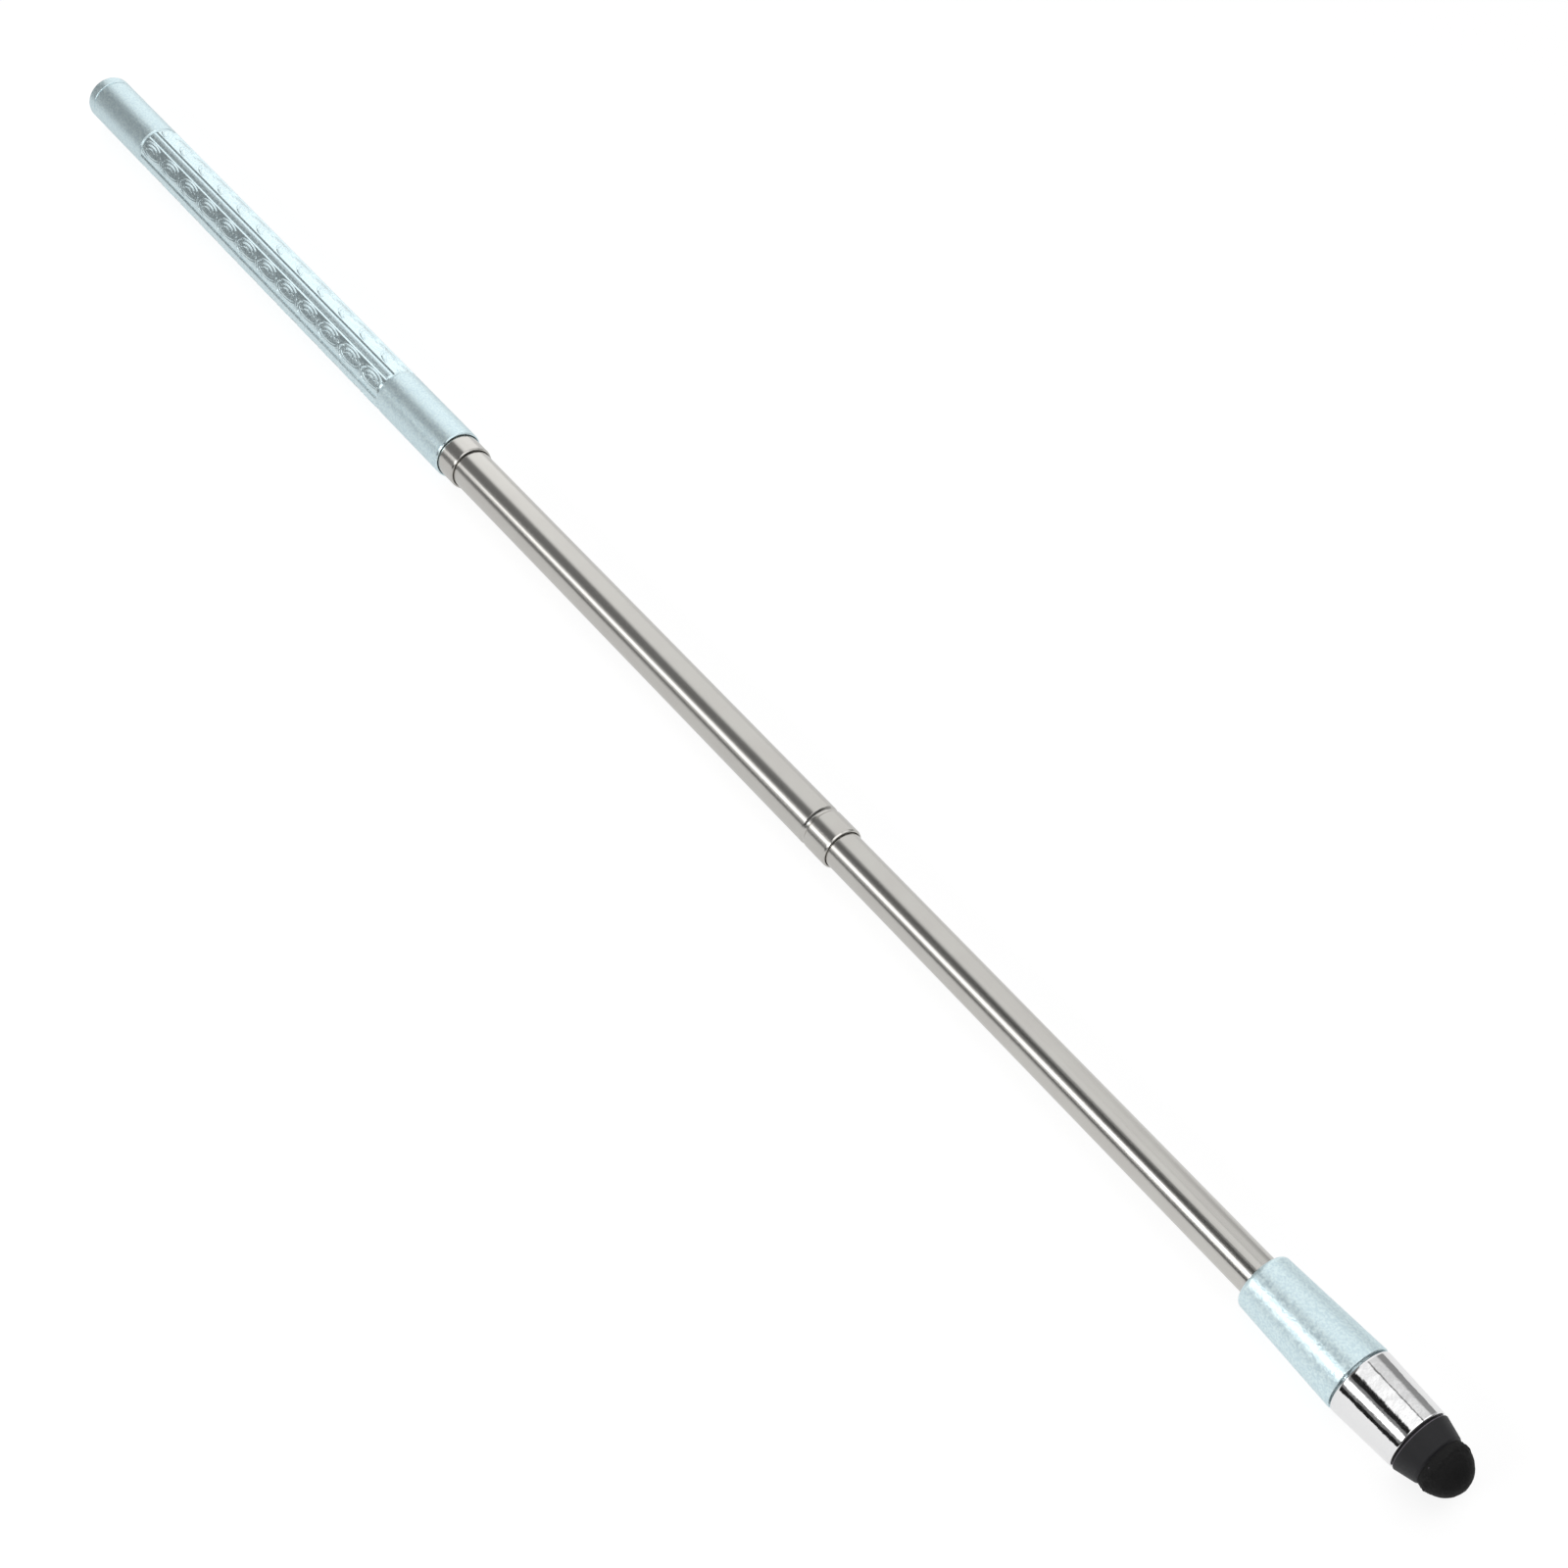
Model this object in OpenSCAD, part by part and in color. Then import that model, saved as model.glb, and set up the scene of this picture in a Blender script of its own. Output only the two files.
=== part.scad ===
// Telescopic touch-screen stylus, fully drawn out. It lies along X: the middle of the tail face is the
// origin, +X runs to the nib and +Z is up. Nearly every piece is turned about X, so its profile is drawn
// as radius against station, the distance from the tail face.

/* [Handle] */
// Length of the handle, from the tail face to the barrel's mouth
handle_len = 144.8; // [120:0.1:180]
// Wall of the aluminium barrel
barrel_wall = 0.43; // [0.35:0.01:1]
// Rounding of the barrel's mouth
mouth_edge = 0.15; // [0.05:0.01:0.2]
// Plain length behind the engraved grip, from the tail face
plain_rear = 23.4; // [18:0.1:40]
// Plain length in front of the engraved grip, back from the mouth
plain_front = 21.7; // [10:0.1:40]
// Number of raised ribs that part the engraved bands
rib_count = 5; // [3:1:8]
// Arc that one raised rib takes up, in degrees
rib_angle = 20; // [8:1:30]
// Depth of the engraved bands
band_depth = 0.17; // [0.08:0.01:0.22]
// Gap between a rib's end and the plain part of the barrel
border_w = 0.6; // [0.2:0.05:1]
// Roll of the first rib from straight up, in degrees
grip_roll = 15.3; // [0:0.1:72]

/* [Tail cap] */
// Length of the cap that shows behind the barrel
cap_len = 2.4; // [1:0.1:4]
// Rounding of the tail edge
cap_edge = 0.6; // [0.2:0.05:0.9]
// Length of the cap's plug inside the handle
plug_len = 9.3; // [6:0.1:18]
// Length of the plug's thick shoulder, which fits the barrel
shoulder_len = 3; // [1.5:0.1:5]

/* [Tubes] */
// Outside diameter of the inner tube, which carries the tip
inner_d = 7; // [5:0.1:9]
// Wall of the three stainless tubes
tube_wall = 0.25; // [0.2:0.01:0.35]
// Radial room between one tube and the next, where the shims run
shim_room = 0.25; // [0.15:0.01:0.4]
// Length of the outer tube that shows in front of the handle
collar_len = 4.8; // [2:0.1:12]
// Distance from a tube's mouth back to its rolled groove
groove_back = 6; // [3:0.1:10]
// Width of the rolled groove
groove_w = 1; // [0.8:0.05:2]
// Outside rounding of the curled lip at a tube's mouth
lip_r = 0.4; // [0.1:0.02:0.45]

/* [Slides] */
// Length of the bronze friction shims
shim_len = 11.5; // [6:0.1:16]
// Arc that one shim takes up, in degrees
shim_angle = 168; // [120:1:176]
// Depth of the neck that holds the shims on a tube's rear end
neck_depth = 0.15; // [0.1:0.01:0.3]
// Length of the flange behind the neck
flange_len = 1.5; // [0.8:0.1:3]
// Room left behind a tube that is pushed right in
end_room = 1.6; // [0.3:0.1:4]
// Gap left between two mouths that are pushed together
push_gap = 0.3; // [0.1:0.05:1]

/* [Tip] */
// Length of the flared holder
holder_len = 20.2; // [17:0.1:30]
// Largest diameter of the holder, at its front
holder_front_d = 11.7; // [10.5:0.1:14]
// Rounding of the holder's rear edge
holder_edge = 0.9; // [0.3:0.05:1]
// Depth of the tube's seat in the holder
tube_seat = 12; // [8:0.1:13]
// Length of the chrome ferrule
ferrule_len = 11.9; // [10:0.1:18]
// Diameter of the ferrule at its front
ferrule_front_d = 10.67; // [9.8:0.01:12]
// Diameter of the ferrule's rear spigot, which sits in the holder
spigot_d = 8; // [6.5:0.1:9]
// Length of the ferrule's rear spigot
spigot_len = 4; // [2:0.1:4.5]
// Diameter of the screwed stud between tube and ferrule
stud_d = 4; // [3:0.1:5]
// Length of the stud's plug inside the tube
stud_plug_len = 9; // [5:0.1:11]
// Reach of the stud into the ferrule, past the joint
stud_reach = 3; // [1:0.1:3.5]

/* [Nib] */
// Depth of the nib's socket in the front of the ferrule
socket_depth = 5; // [3:0.1:6]
// Diameter of the nib's socket in the ferrule
socket_d = 8; // [6.5:0.1:9]
// Step from the ferrule's front edge in to the rubber skirt
skirt_step = 0.06; // [0.05:0.01:0.4]
// Length of the skirt in front of the ferrule
skirt_len = 4.2; // [3:0.1:5]
// How much the skirt's radius shrinks before its nose
skirt_taper = 0.9; // [0.4:0.05:1.2]
// Rounding of the skirt's nose
skirt_nose = 0.5; // [0.3:0.05:0.9]
// Diameter of the conductive ball
ball_d = 8.5; // [7.5:0.05:9]
// Distance from the ferrule's front to the ball's centre
ball_reach = 5.05; // [5:0.05:6]
// Diameter of the stem inside the nib
stem_d = 3; // [2:0.1:4]
// Depth of the stem's seat in the ferrule
stem_seat = 1.2; // [0.8:0.1:1.6]

/* [Fits] */
// Radial clearance where a piece slides or turns
running_clear = 0.03; // [0.01:0.01:0.08]
// Clearance where a piece is pressed, glued or screwed in
fixed_clear = 0.02; // [0.01:0.01:0.05]
// Axial play of the shims in their neck, and at their stop
shim_float = 0.1; // [0.05:0.05:0.3]
// Small chamfer on both sides of a joint line
joint_chamfer = 0.12; // [0.05:0.01:0.2]

/* [Hidden] */
$fn = 96;

anodised = "#cfe4e8";
stainless = "#c8c6c2";
bronze = "#b5874f";
brass = "#c8a552";
chrome = "#dcdddd";
rubber = "#29292d";
conductive = "#1b1b1b";

// How far a cut runs past the surface that it starts from
over = 1;

// Radii, from the inner tube outwards
tube_step = tube_wall + shim_room;
inner_r = inner_d / 2;
middle_r = inner_r + tube_step;
outer_r = middle_r + tube_step;
barrel_bore_r = outer_r + fixed_clear;
handle_r = barrel_bore_r + barrel_wall;

// Rolled groove: an arc outside, and a bead inside that guides the next tube
groove_depth = shim_room - running_clear;
groove_r = (pow(groove_w / 2, 2) + pow(groove_depth, 2)) / (2 * groove_depth);
groove_rise = groove_r - groove_depth;
bead_half = sqrt(pow(groove_r + tube_wall, 2) - pow(groove_rise + tube_wall, 2));

// Necked rear end of a sliding tube
neck_len = shim_len + 2 * shim_float;
neck_zone = flange_len + 2 * neck_depth + neck_len;
// Front face of the shims that stop at the bead behind a mouth
function shim_front(mouth) = mouth - groove_back - bead_half - shim_float;
// Front end of the neck that holds them, and the tube's rear end
function neck_front(mouth) = shim_front(mouth) + shim_float + neck_depth;
function tube_rear(mouth) = neck_front(mouth) - neck_zone;

// Stations of the slides: each tube is as long as the space that it pushes into allows
outer_mouth = handle_len + collar_len;
middle_rear = tube_rear(outer_mouth);
middle_travel = middle_rear - cap_len - plug_len - end_room;
middle_mouth = outer_mouth + middle_travel + push_gap;
inner_rear = tube_rear(middle_mouth);
inner_travel = inner_rear - neck_front(outer_mouth) - end_room;

// Stations of the tip
holder_rear = middle_mouth + inner_travel + push_gap;
tube_front = holder_rear + tube_seat;
ferrule_rear = holder_rear + holder_len;
ferrule_front = ferrule_rear + ferrule_len;
ball_x = ferrule_front + ball_reach;
socket_floor = ferrule_front - socket_depth;
ball_r = ball_d / 2;
ball_seat_r = ball_r + fixed_clear;
skirt_r = ferrule_front_d / 2 - skirt_step;

// Grip
grip_start = plain_rear;
grip_end = handle_len - plain_front;
band_r = handle_r - band_depth;

// Turns a profile about X
module turned() {
    rotate([0, 90, 0])
        rotate_extrude()
            children();
}

// Turns a profile through part of a circle, centred at an angle from straight up towards -Y
module part_turned(centre, span) {
    rotate([0, 90, 0])
        rotate([0, 0, 180 + centre - span / 2])
            rotate_extrude(angle = span)
                children();
}

// Profile of a straight ring between two radii and two stations
module ring(r_in, r_out, x0, x1) {
    translate([r_in, x0])
        square([r_out - r_in, x1 - x0]);
}

// Profile of what a rounding takes off an outer edge that faces forward (1) or back (-1)
module rounding(r, x, edge, facing) {
    difference() {
        ring(r - edge, r + over, min(x - facing * edge, x + facing * over), max(x - facing * edge, x + facing * over));
        translate([r - edge, x - facing * edge])
            circle(edge);
    }
}

// Profile of what a chamfer takes off an outer edge that faces forward (1) or back (-1)
module chamfer(r, x, edge, facing) {
    polygon([[r - edge, x], [r + over, x - facing * (edge + over)], [r + over, x]]);
}

// Profile of a tube's front part: curled lip, and a rolled groove with its bead, both guiding the next tube
module mouth_profile(r, rear, mouth) {
    guide_r = r - tube_step + running_clear;
    groove_x = mouth - groove_back;
    difference() {
        union() {
            ring(r - tube_wall, r, rear, mouth);
            ring(guide_r, r, mouth - tube_wall, mouth);
            intersection() {
                translate([r + groove_rise, groove_x])
                    circle(groove_r + tube_wall);
                ring(guide_r - over, r, groove_x - bead_half - over, groove_x + bead_half + over);
            }
        }
        translate([r + groove_rise, groove_x])
            circle(groove_r);
        rounding(r, mouth, lip_r, 1);
    }
}

// Profile of a sliding tube's necked rear end
module neck_profile(r, rear) {
    neck_r = r - neck_depth;
    shoulder_rear = rear + flange_len;
    neck_rear = shoulder_rear + neck_depth;
    shoulder_front = neck_rear + neck_len;
    neck_end = shoulder_front + neck_depth;
    polygon([
        [r, rear], [r, shoulder_rear], [neck_r, neck_rear], [neck_r, shoulder_front], [r, neck_end],
        [r - tube_wall, neck_end], [neck_r - tube_wall, shoulder_front], [neck_r - tube_wall, neck_rear],
        [r - tube_wall, shoulder_rear], [r - tube_wall, rear]
    ]);
}

// One friction shim: a thin half shell in the neck of a sliding tube
module shim(r, mouth, centre) {
    color(bronze)
        part_turned(centre, shim_angle)
            ring(r - neck_depth + running_clear, r + shim_room - running_clear,
                shim_front(mouth) - shim_len, shim_front(mouth));
}

// Anodised tube with a sunk grip, in which raised ribs stand between the engraved bands
module handle_barrel() {
    color(anodised)
        union() {
            turned()
                difference() {
                    ring(barrel_bore_r, handle_r, cap_len, handle_len);
                    rounding(handle_r, handle_len, mouth_edge, 1);
                    chamfer(handle_r, cap_len, joint_chamfer, -1);
                    ring(band_r, handle_r + over, grip_start, grip_end);
                }
            for (i = [0 : rib_count - 1])
                part_turned(grip_roll + i * 360 / rib_count, rib_angle)
                    ring((barrel_bore_r + band_r) / 2, handle_r, grip_start + border_w, grip_end - border_w);
        }
}

// Cap whose shoulder fits the barrel, and whose nose centres the rear end of the outer tube
module tail_cap() {
    color(anodised)
        turned()
            difference() {
                union() {
                    ring(0, handle_r, 0, cap_len);
                    ring(0, barrel_bore_r - fixed_clear, 0, cap_len + shoulder_len);
                    ring(0, outer_r - tube_wall - fixed_clear, 0, cap_len + plug_len);
                }
                rounding(handle_r, 0, cap_edge, -1);
                chamfer(handle_r, cap_len, joint_chamfer, 1);
            }
}

// Tube fixed in the barrel: only its mouth shows
module outer_tube() {
    color(stainless)
        turned()
            mouth_profile(outer_r, cap_len + shoulder_len + fixed_clear, outer_mouth);
}

module middle_shim_top() {
    shim(middle_r, outer_mouth, 0);
}

module middle_shim_bottom() {
    shim(middle_r, outer_mouth, 180);
}

module middle_tube() {
    color(stainless)
        turned()
            union() {
                neck_profile(middle_r, middle_rear);
                mouth_profile(middle_r, middle_rear + neck_zone, middle_mouth);
            }
}

module tip_shim_top() {
    shim(inner_r, middle_mouth, 0);
}

module tip_shim_bottom() {
    shim(inner_r, middle_mouth, 180);
}

module inner_tube() {
    color(stainless)
        turned()
            union() {
                neck_profile(inner_r, inner_rear);
                ring(inner_r - tube_wall, inner_r, inner_rear + neck_zone, tube_front);
            }
}

// Stud whose plug is crimped in the tube, and whose thread draws the ferrule against the holder
module tip_stud() {
    color(brass)
        turned()
            union() {
                ring(0, inner_r - tube_wall - fixed_clear, tube_front - stud_plug_len, tube_front);
                ring(0, stud_d / 2, tube_front - stud_plug_len, ferrule_rear + stud_reach);
            }
}

// Flared sleeve: tube seat behind, web with the stud's hole, counterbore for the ferrule's spigot in front
module tip_holder() {
    color(anodised)
        turned()
            difference() {
                polygon([
                    [0, holder_rear], [handle_r, holder_rear],
                    [holder_front_d / 2, ferrule_rear], [0, ferrule_rear]
                ]);
                rounding(handle_r, holder_rear, holder_edge, -1);
                chamfer(holder_front_d / 2, ferrule_rear, joint_chamfer, 1);
                ring(-over, inner_r + fixed_clear, holder_rear - over, tube_front + fixed_clear);
                ring(-over, stud_d / 2 + fixed_clear, holder_rear, ferrule_rear + over);
                ring(-over, spigot_d / 2 + fixed_clear, ferrule_rear - spigot_len - fixed_clear, ferrule_rear + over);
            }
}

// Plated ring that screws onto the stud and holds the nib in its front socket
module ferrule() {
    rear_r = holder_front_d / 2;
    front_r = ferrule_front_d / 2;
    color(chrome)
        turned()
            difference() {
                union() {
                    polygon([[0, ferrule_rear], [rear_r, ferrule_rear], [front_r, ferrule_front], [0, ferrule_front]]);
                    ring(0, spigot_d / 2, ferrule_rear - spigot_len, ferrule_rear + over);
                }
                chamfer(rear_r, ferrule_rear, joint_chamfer, -1);
                rounding(front_r, ferrule_front, joint_chamfer, 1);
                ring(-over, stud_d / 2 + fixed_clear, ferrule_rear - spigot_len - over,
                    ferrule_rear + stud_reach + fixed_clear);
                ring(-over, socket_d / 2, socket_floor, ferrule_front + over);
                ring(-over, stem_d / 2 + fixed_clear, socket_floor - stem_seat, ferrule_front + over);
            }
}

// Conductive stem from the ferrule to the middle of the ball
module nib_stem() {
    color(brass)
        turned()
            ring(0, stem_d / 2, socket_floor - stem_seat + fixed_clear, ball_x);
}

// Rubber skirt: plug in the ferrule's socket, tapered wall, rounded nose with a round seat for the ball
module nib_skirt() {
    nose_r = skirt_r - skirt_taper;
    skirt_front = ferrule_front + skirt_len;
    color(rubber)
        turned()
            difference() {
                union() {
                    ring(0, socket_d / 2 - fixed_clear, socket_floor + fixed_clear, ferrule_front + over);
                    polygon([
                        [0, ferrule_front + fixed_clear], [skirt_r, ferrule_front + fixed_clear],
                        [nose_r, skirt_front], [0, skirt_front]
                    ]);
                }
                rounding(nose_r, skirt_front, skirt_nose, 1);
                translate([0, ball_x])
                    circle(ball_seat_r);
                ring(-over, stem_d / 2 + fixed_clear, socket_floor - over, ball_x);
            }
}

// Conductive ball with a blind hole for the stem
module nib_ball() {
    color(conductive)
        difference() {
            translate([ball_x, 0, 0])
                sphere(ball_r);
            turned()
                ring(0, stem_d / 2 + fixed_clear, ball_x - ball_d, ball_x + fixed_clear);
        }
}

handle_barrel();
tail_cap();
outer_tube();
middle_shim_top();
middle_shim_bottom();
middle_tube();
tip_shim_top();
tip_shim_bottom();
inner_tube();
tip_stud();
tip_holder();
ferrule();
nib_stem();
nib_skirt();
nib_ball();
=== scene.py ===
import math

import bmesh
import bpy
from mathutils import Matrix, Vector, noise


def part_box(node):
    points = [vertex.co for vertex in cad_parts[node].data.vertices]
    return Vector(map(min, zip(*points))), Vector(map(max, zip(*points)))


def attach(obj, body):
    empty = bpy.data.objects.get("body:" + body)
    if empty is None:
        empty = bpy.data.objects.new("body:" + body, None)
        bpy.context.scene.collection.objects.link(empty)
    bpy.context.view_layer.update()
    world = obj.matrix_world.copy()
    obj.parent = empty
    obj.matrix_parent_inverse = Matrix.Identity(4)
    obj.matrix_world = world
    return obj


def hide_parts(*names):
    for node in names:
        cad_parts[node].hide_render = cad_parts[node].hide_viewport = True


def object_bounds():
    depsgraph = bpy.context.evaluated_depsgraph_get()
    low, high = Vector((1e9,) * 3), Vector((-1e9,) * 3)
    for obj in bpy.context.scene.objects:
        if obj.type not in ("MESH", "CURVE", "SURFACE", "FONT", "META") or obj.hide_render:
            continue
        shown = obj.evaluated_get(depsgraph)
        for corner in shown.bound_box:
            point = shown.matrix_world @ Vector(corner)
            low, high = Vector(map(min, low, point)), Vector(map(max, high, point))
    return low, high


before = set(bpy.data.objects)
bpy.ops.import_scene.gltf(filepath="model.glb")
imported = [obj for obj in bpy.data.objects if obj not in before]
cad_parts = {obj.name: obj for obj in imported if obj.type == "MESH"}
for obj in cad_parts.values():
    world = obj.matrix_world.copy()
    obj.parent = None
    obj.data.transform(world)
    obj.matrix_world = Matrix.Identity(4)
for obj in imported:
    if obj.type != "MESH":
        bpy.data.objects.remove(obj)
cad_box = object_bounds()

# Tail cap: a thin disc turned from aluminium bar and anodised with the barrel. Its plug is pushed into
# the barrel's rear end, so only a fine chamfered joint shows round the handle.
MM = 0.001


def arc(x, r, rx, rr, start, end, steps=6):
    """Points of an elliptic arc about (x, r): half axes rx along the object and rr across it, in mm."""
    turns = [math.radians(start + (end - start) * i / steps) for i in range(steps + 1)]
    return [(x + rx * math.cos(t), r + rr * math.sin(t)) for t in turns]


def ring(x, radii, angles):
    """Points round X at station x; the angles run from straight up towards -Y."""
    return [(x, -r * math.sin(a), r * math.cos(a)) for r, a in zip(radii, angles)]


def shade(mesh, crease):
    """Smooth shading, with an edge left sharp where it bends by more than crease degrees."""
    mesh.shade_smooth()
    mesh.set_sharp_from_angle(angle=math.radians(crease))


def skin(name, rings, material):
    """A closed skin through rings of points, and from the last back to the first.

    A ring of one point closes an end on the axis.
    """
    verts, rows = [], []
    for points in rings:
        rows.append(range(len(verts), len(verts) + len(points)))
        verts += [(x * MM, y * MM, z * MM) for x, y, z in points]
    faces = []
    for a, b in zip(rows, rows[1:] + rows[:1]):
        sides = max(len(a), len(b))
        for i in range(sides if len(a) + len(b) > 2 else 0):
            j = (i + 1) % sides
            if len(a) == 1:
                faces.append((a[0], b[j], b[i]))
            elif len(b) == 1:
                faces.append((a[i], a[j], b[0]))
            else:
                faces.append((a[i], a[j], b[j], b[i]))
    mesh = bpy.data.meshes.new(name)
    mesh.from_pydata(verts, [], faces)
    bm = bmesh.new()
    bm.from_mesh(mesh)
    bmesh.ops.recalc_face_normals(bm, faces=bm.faces)
    bm.to_mesh(mesh)
    bm.free()
    shade(mesh, 40)
    mesh.materials.append(material)
    piece = bpy.data.objects.new(name, mesh)
    bpy.context.scene.collection.objects.link(piece)
    return piece


def turned(name, outline, material, sides=144):
    """A piece turned about X from an outline of (station, radius) points in mm.

    A long line gets a point close to each end, so that it stays straight beside roundings.
    """
    long_line, hold = 1, 0.1
    points = []
    for (x, r), (to_x, to_r) in zip(outline, outline[1:] + outline[:1]):
        points.append((x, r))
        length = math.hypot(to_x - x, to_r - r)
        if length > long_line and r + to_r > 0:
            shares = (hold / length, 1 - hold / length)
            points += [(x + (to_x - x) * s, r + (to_r - r) * s) for s in shares]
    angles = [math.tau * i / sides for i in range(sides)]
    rings = [ring(x, [r] * sides, angles) if r > 0 else [(x, 0, 0)] for x, r in points]
    return skin(name, rings, material)


def linear(colour):
    """An sRGB hex colour as linear RGBA."""
    parts = [int(colour[i:i + 2], 16) / 255 for i in (1, 3, 5)]
    return tuple(c / 12.92 if c <= 0.04045 else ((c + 0.055) / 1.055) ** 2.4 for c in parts) + (1.0,)


def connect(tree, node, inputs):
    """Sets a node's inputs: a socket takes a value, a node, an output or a list of outputs."""
    for socket, values in inputs.items():
        for value in values if isinstance(values, list) else [values]:
            if isinstance(value, bpy.types.Node):
                value = value.outputs[0]
            if isinstance(value, bpy.types.NodeSocket):
                tree.links.new(value, node.inputs[socket])
            else:
                node.inputs[socket].default_value = value


def add(tree, kind, inputs=None, **settings):
    """One node with its settings and links; inputs names or counts the sockets.

    A Map Range has its value at 0, the range that it comes from at 1 and 2, and the one that it goes to
    at 3 and 4. A Mix has its share at 0, two numbers at 2 and 3, and two colours at 6 and 7.
    """
    node = tree.nodes.new(kind)
    for key, value in settings.items():
        setattr(node, key, value)
    connect(tree, node, inputs or {})
    return node


def finish_named(name):
    """A new material with its tree, its shader and the piece's own coordinates."""
    material = bpy.data.materials.new(name)
    material.use_nodes = True
    tree = material.node_tree
    place = add(tree, "ShaderNodeTexCoord").outputs["Object"]
    return material, tree, tree.nodes["Principled BSDF"], place


# Bead-blasted and anodised aluminium: the blasting leaves a fine sparkling grain that blurs every
# reflection, and the thin dyed oxide keeps the metal's sheen but tints it a pale aqua.
anodised, tree, shader, place = finish_named("anodised_aluminium")
grit = 0.4  # mm; real grit is about 0.1 mm, drawn coarser so that it shows
grit_depth, dye_cloud = 0.045, 9  # mm
grain = add(tree, "ShaderNodeTexNoise", {"Vector": place, "Scale": 1 / (grit * MM), "Detail": 2.0})
dye = add(tree, "ShaderNodeTexNoise", {"Vector": place, "Scale": 1 / (dye_cloud * MM), "Detail": 3.0})
tint = add(tree, "ShaderNodeMix", {0: dye, 6: linear("#d1e6ed"), 7: linear("#d6ecf3")}, data_type="RGBA")
fleck = add(tree, "ShaderNodeMapRange", {0: grain, 1: 0.37, 2: 0.63})
tint = add(tree, "ShaderNodeMix", {0: fleck, 6: tint.outputs[2], 7: linear("#e9fbfe")}, data_type="RGBA")
blast = add(tree, "ShaderNodeMapRange", {0: grain, 1: 0.3, 2: 0.7, 3: 0.38, 4: 0.48})
bump = add(tree, "ShaderNodeBump", {"Height": grain, "Distance": grit_depth * MM, "Strength": 1.0})
connect(tree, shader, {"Base Color": tint.outputs[2], "Roughness": blast, "Normal": bump, "Metallic": 0.9})

handle_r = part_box("handle_barrel")[1].z / MM
cap_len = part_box("handle_barrel")[0].x / MM
plug_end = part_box("tail_cap")[1].x / MM
face_round = 0.3
# The plug's shoulder fits the barrel, and its nose the outer tube
shoulder_len, shoulder_r, nose_r, nose_end_r = 3, 4.5, 4.23, 3.8
# An edge is a list of (mm from the end, mm below the surface)
joint_edge = [(0.22, 0), (0.17, 0.006), (0.13, 0.02), (0.03, 0.07), (0, 0.1)]
cap = turned("tail_cap", [
    (0, 0), *arc(face_round, handle_r - face_round, face_round, face_round, 180, 90, 8),
    *[(cap_len - back, handle_r - down) for back, down in joint_edge],
    (cap_len, shoulder_r), (cap_len + 2.7, shoulder_r), (cap_len + shoulder_len, nose_r),
    (plug_end - 0.4, nose_r), (plug_end, nose_end_r), (plug_end, 0)], anodised)
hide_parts("tail_cap")
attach(cap, "handle")

# Handle barrel: drawn aluminium tube, rolled between engraved dies so that five plain ribs stand between
# five bands of oval swirls, then blasted and anodised. The outer tube is pressed into it.
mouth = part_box("handle_barrel")[1].x / MM
bore_r = 4.52
grip_start, grip_end, mid_grip = 23.4, 123.1, 73
ribs, first_rib = 5, math.radians(13.4)
floor_r, furrow_r = handle_r - 0.1, handle_r - 0.24
furrow_at = 9.1  # degrees from the middle of a rib
# Half of one rib and band, as (degrees from the rib's middle, radius): rib, V furrow, band floor
half_period = [
    (0, handle_r), (2.2, handle_r), (3.8, handle_r), (4.3, handle_r - 0.004), (4.8, handle_r - 0.022),
    (8.6, furrow_r + 0.022), (8.9, furrow_r + 0.006), (furrow_at, furrow_r), (9.3, furrow_r + 0.006),
    (9.6, furrow_r + 0.022), (13.0, floor_r - 0.012), (13.4, floor_r - 0.003), (13.8, floor_r),
    *[(degrees, floor_r) for degrees in (16, 20, 25, 30.5, 180 / ribs)]]
period = [(-d, r) for d, r in half_period[-2:0:-1]] + half_period
angles = [first_rib + math.radians(360 / ribs * i + d) for i in range(ribs) for d, r in period]
grip = [r for d, r in period] * ribs


def plain(x, r):
    """A round ring of the barrel, point for point with the rings of the grip."""
    return ring(x, [r] * len(angles), angles)


def sunk(x, share):
    """A ring of the grip where its relief has come up to this share of its full height."""
    return ring(x, [furrow_r + (r - furrow_r) * share for r in grip], angles)


rear_edge = [(0, 0.15), (0.04, 0.12), (0.28, 0.02), (0.34, 0.005), (0.4, 0), (0.5, 0)]
# Each end of the grip: a slope down from the plain barrel, then a furrow and the ribs' bevelled ends, as
# (mm from the grip's end, share of the relief)
grip_edge = [(-0.1, 0), (0, 0), (0.06, 0.02)]
rear_relief = [(0.42, 0), (0.5, 0), (0.74, 0.93), (0.82, 1), (0.92, 1)]
front_relief = [(1.02, 1), (0.92, 1), (0.86, 0.95), (0.46, 0), (0.4, 0)]
# The mouth's narrow bevel and end face, and the crevice round the outer tube, as (mm back, mm off the bore)
bevel = 0.36
mouth_edge = [(0.5, 0), (0.42, 0), (bevel, 0.006), (0.3, 0.02), (0.08, 0.08), (0.03, 0.1), (0, 0.14)]
crevice = [(0, 0.13), (0.06, 0.09), (0.6, 0)]
barrel = skin("handle_barrel", [
    plain(cap_len, bore_r),
    *[plain(cap_len + on, handle_r - down) for on, down in rear_edge],
    *[plain(grip_start + on, handle_r - down) for on, down in grip_edge],
    *[sunk(grip_start + on, share) for on, share in rear_relief],
    sunk(mid_grip, 1),
    *[sunk(grip_end - back, share) for back, share in front_relief],
    *[plain(grip_end - back, handle_r - down) for back, down in grip_edge[::-1]],
    *[plain(mouth - back, handle_r - down) for back, down in mouth_edge],
    *[plain(mouth - back, bore_r + off) for back, off in crevice]], anodised)

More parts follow.
